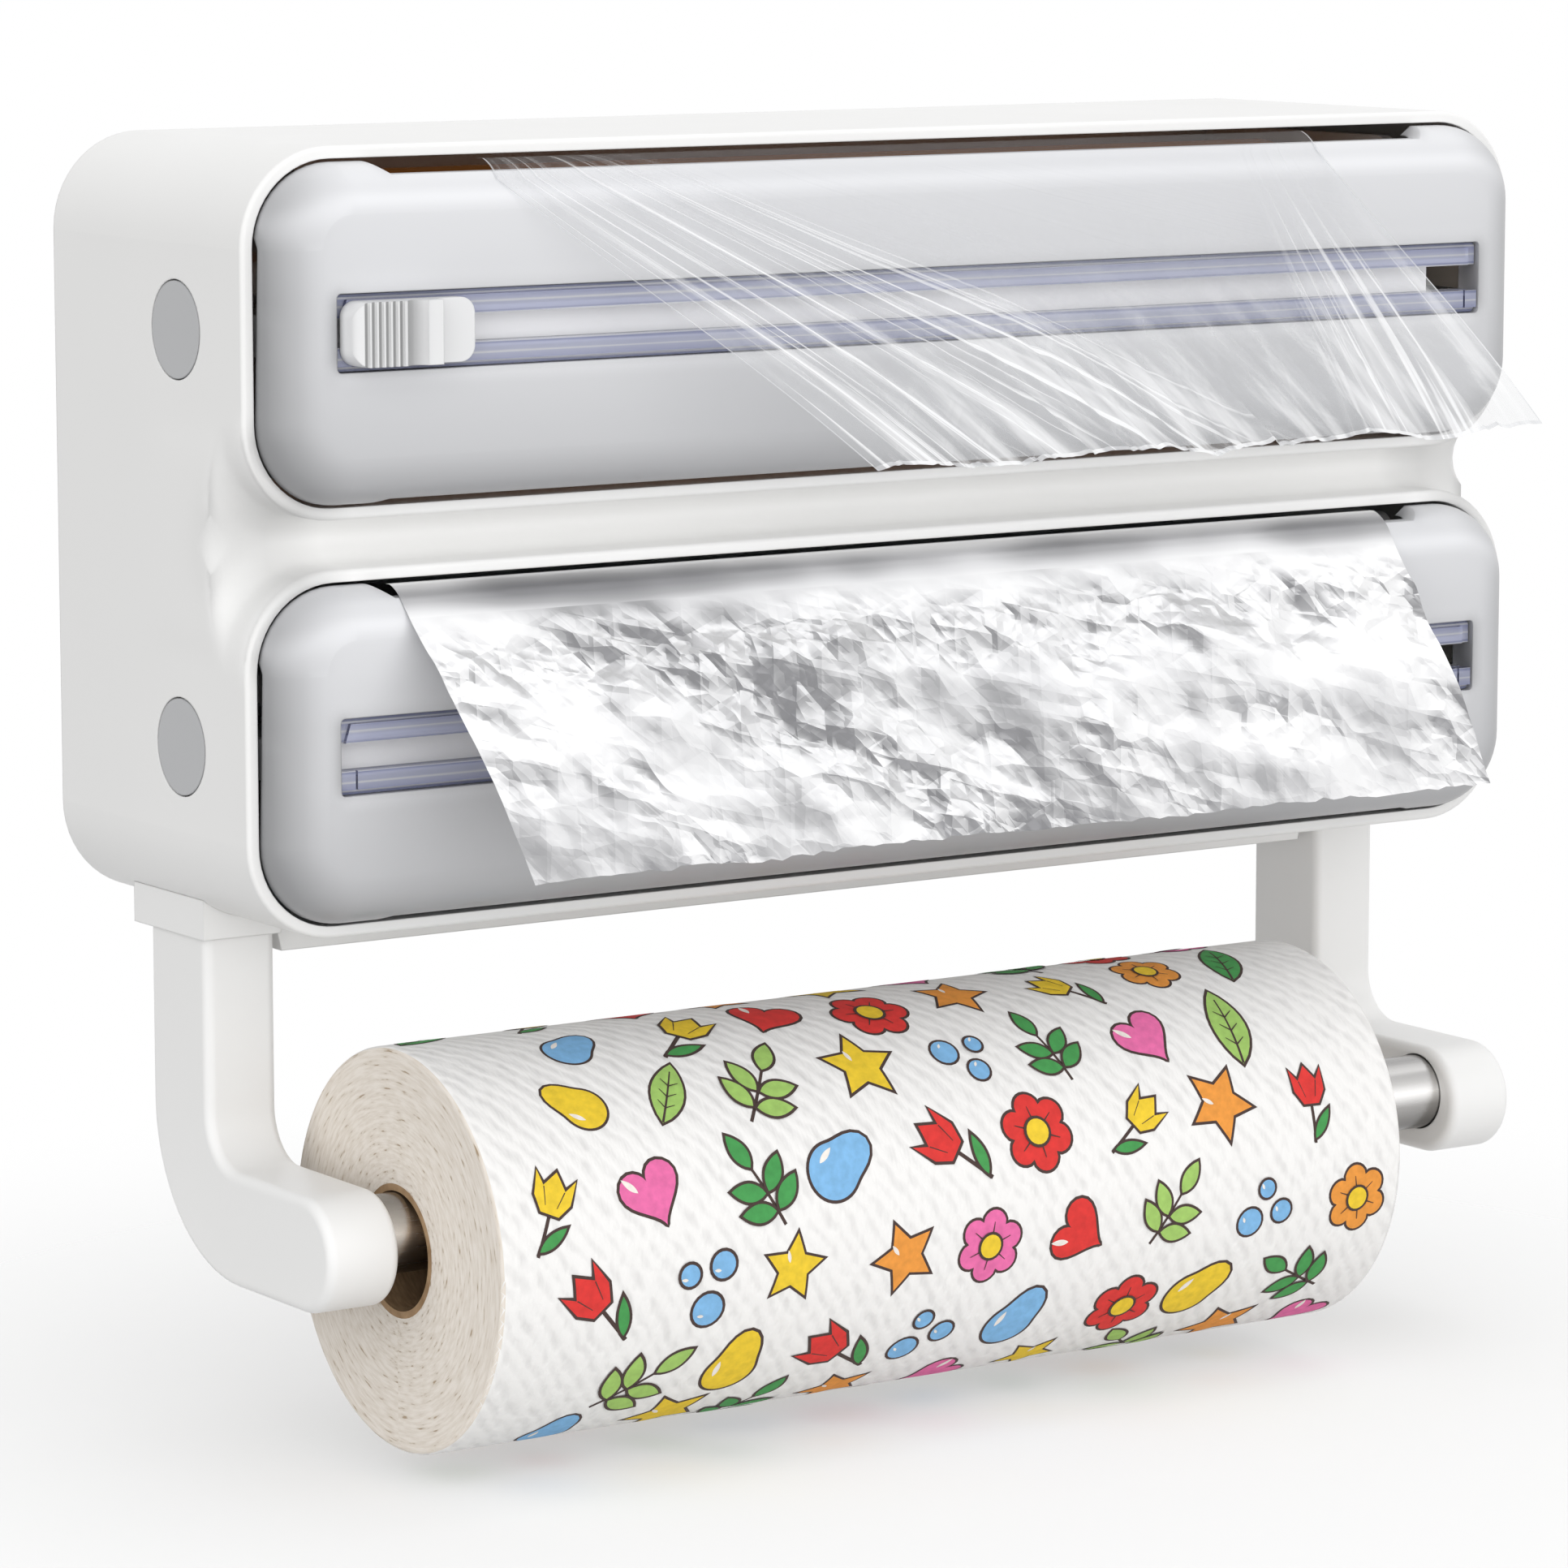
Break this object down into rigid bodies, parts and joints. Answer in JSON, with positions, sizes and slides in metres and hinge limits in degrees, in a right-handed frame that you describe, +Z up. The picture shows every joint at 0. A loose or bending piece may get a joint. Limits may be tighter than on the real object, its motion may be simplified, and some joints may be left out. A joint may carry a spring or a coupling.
{
  "type": "wall-mounted wrap dispenser",
  "caption": "Wall dispenser with hinged covers and slide cutters over film and foil bays, side release buttons, and a rod on arms below for a paper towel roll.",
  "frame": {"origin": "middle of the housing's back face, on the wall", "axes": "+X along the rolls to the right seen from the front, +Y into the wall, +Z up"},
  "size_m": [0.39, 0.1579, 0.3212],
  "materials": {
    "housing_white": "satin white moulding",
    "panel_grey": "plain moulding",
    "cover_grey": "smooth light grey",
    "track_clear": "clear plastic with a cool tint",
    "cutter_white": "satin white",
    "button_grey": "matte grey",
    "plate_white": "plain moulding",
    "latch_ivory": "plain moulding",
    "steel": "plain steel",
    "rod_steel": "polished steel tube",
    "cling_film": "thin clear film",
    "film_wound": "clear film wound in many layers, amber in depth",
    "foil": "bright crinkled foil",
    "card": "plain board",
    "towel_paper": "soft embossed paper with printed motifs"
  },
  "bodies": {
    "housing": {"housing": "housing_white", "back_panel": "panel_grey", "panel_screws": "steel", "upper_left_plate": "plate_white", "upper_right_plate": "plate_white", "lower_left_plate": "plate_white", "lower_right_plate": "plate_white", "plate_screws": "steel", "cross_bar": "housing_white", "bar_screws": "steel", "left_arm": "housing_white", "right_arm": "housing_white", "arm_screws": "steel", "towel_rod": "rod_steel"},
    "film_cover": {"film_cover": "cover_grey", "film_cover_pins": "steel", "film_track": "track_clear", "film_sheet": "cling_film"},
    "foil_cover": {"foil_cover": "cover_grey", "foil_cover_pins": "steel", "foil_track": "track_clear", "foil_sheet": "foil"},
    "film_cutter": {"film_cutter": "cutter_white", "film_blade": "steel"},
    "foil_cutter": {"foil_cutter": "cutter_white", "foil_blade": "steel"},
    "film_roll": {"film_roll": "film_wound", "film_core": "card", "film_plugs": "plate_white"},
    "foil_roll": {"foil_roll": "foil", "foil_core": "card", "foil_plugs": "plate_white"},
    "paper_roll": {"paper_roll": "towel_paper", "paper_core": "card"},
    "upper_left_button": {"upper_left_button": "button_grey", "upper_left_latch": "latch_ivory", "upper_left_spring": "steel"},
    "upper_right_button": {"upper_right_button": "button_grey", "upper_right_latch": "latch_ivory", "upper_right_spring": "steel"},
    "lower_left_button": {"lower_left_button": "button_grey", "lower_left_latch": "latch_ivory", "lower_left_spring": "steel"},
    "lower_right_button": {"lower_right_button": "button_grey", "lower_right_latch": "latch_ivory", "lower_right_spring": "steel"}
  },
  "joints": [
    {"name": "film_cover_hinge", "type": "hinge", "parent": "housing", "child": "film_cover", "pos_m": [0, -0.096, 0.0802], "axis": [-1, 0, 0], "range_deg": [0, 50], "deforming": ["upper_left_latch", "upper_right_latch"]},
    {"name": "foil_cover_hinge", "type": "hinge", "parent": "housing", "child": "foil_cover", "pos_m": [0, -0.096, -0.0218], "axis": [-1, 0, 0], "range_deg": [0, 50], "deforming": ["lower_left_latch", "lower_right_latch"]},
    {"name": "film_cutter_slide", "type": "slide", "parent": "film_cover", "child": "film_cutter", "axis": [1, 0, 0], "range_m": [0, 0.3146]},
    {"name": "foil_cutter_slide", "type": "slide", "parent": "foil_cover", "child": "foil_cutter", "axis": [1, 0, 0], "range_m": [-0.1573, 0.1573]},
    {"name": "upper_left_button_press", "type": "slide", "parent": "housing", "child": "upper_left_button", "axis": [1, 0, 0], "range_m": [0, 0.004], "stiffness_N_per_m": 500, "springref_m": -0.002, "deforming": ["upper_left_spring"]},
    {"name": "upper_right_button_press", "type": "slide", "parent": "housing", "child": "upper_right_button", "axis": [-1, 0, 0], "range_m": [0, 0.004], "stiffness_N_per_m": 500, "springref_m": -0.002, "deforming": ["upper_right_spring"]},
    {"name": "lower_left_button_press", "type": "slide", "parent": "housing", "child": "lower_left_button", "axis": [1, 0, 0], "range_m": [0, 0.004], "stiffness_N_per_m": 500, "springref_m": -0.002, "deforming": ["lower_left_spring"]},
    {"name": "lower_right_button_press", "type": "slide", "parent": "housing", "child": "lower_right_button", "axis": [-1, 0, 0], "range_m": [0, 0.004], "stiffness_N_per_m": 500, "springref_m": -0.002, "deforming": ["lower_right_spring"]},
    {"name": "film_roll_spin", "type": "hinge", "parent": "housing", "child": "film_roll", "pos_m": [0, -0.042, 0.06], "axis": [1, 0, 0], "continuous": true},
    {"name": "foil_roll_spin", "type": "hinge", "parent": "housing", "child": "foil_roll", "pos_m": [0, -0.042, -0.042], "axis": [1, 0, 0], "continuous": true},
    {"name": "paper_roll_spin", "type": "hinge", "parent": "housing", "child": "paper_roll", "pos_m": [0, -0.1, -0.1747], "axis": [1, 0, 0], "continuous": true}
  ]
}
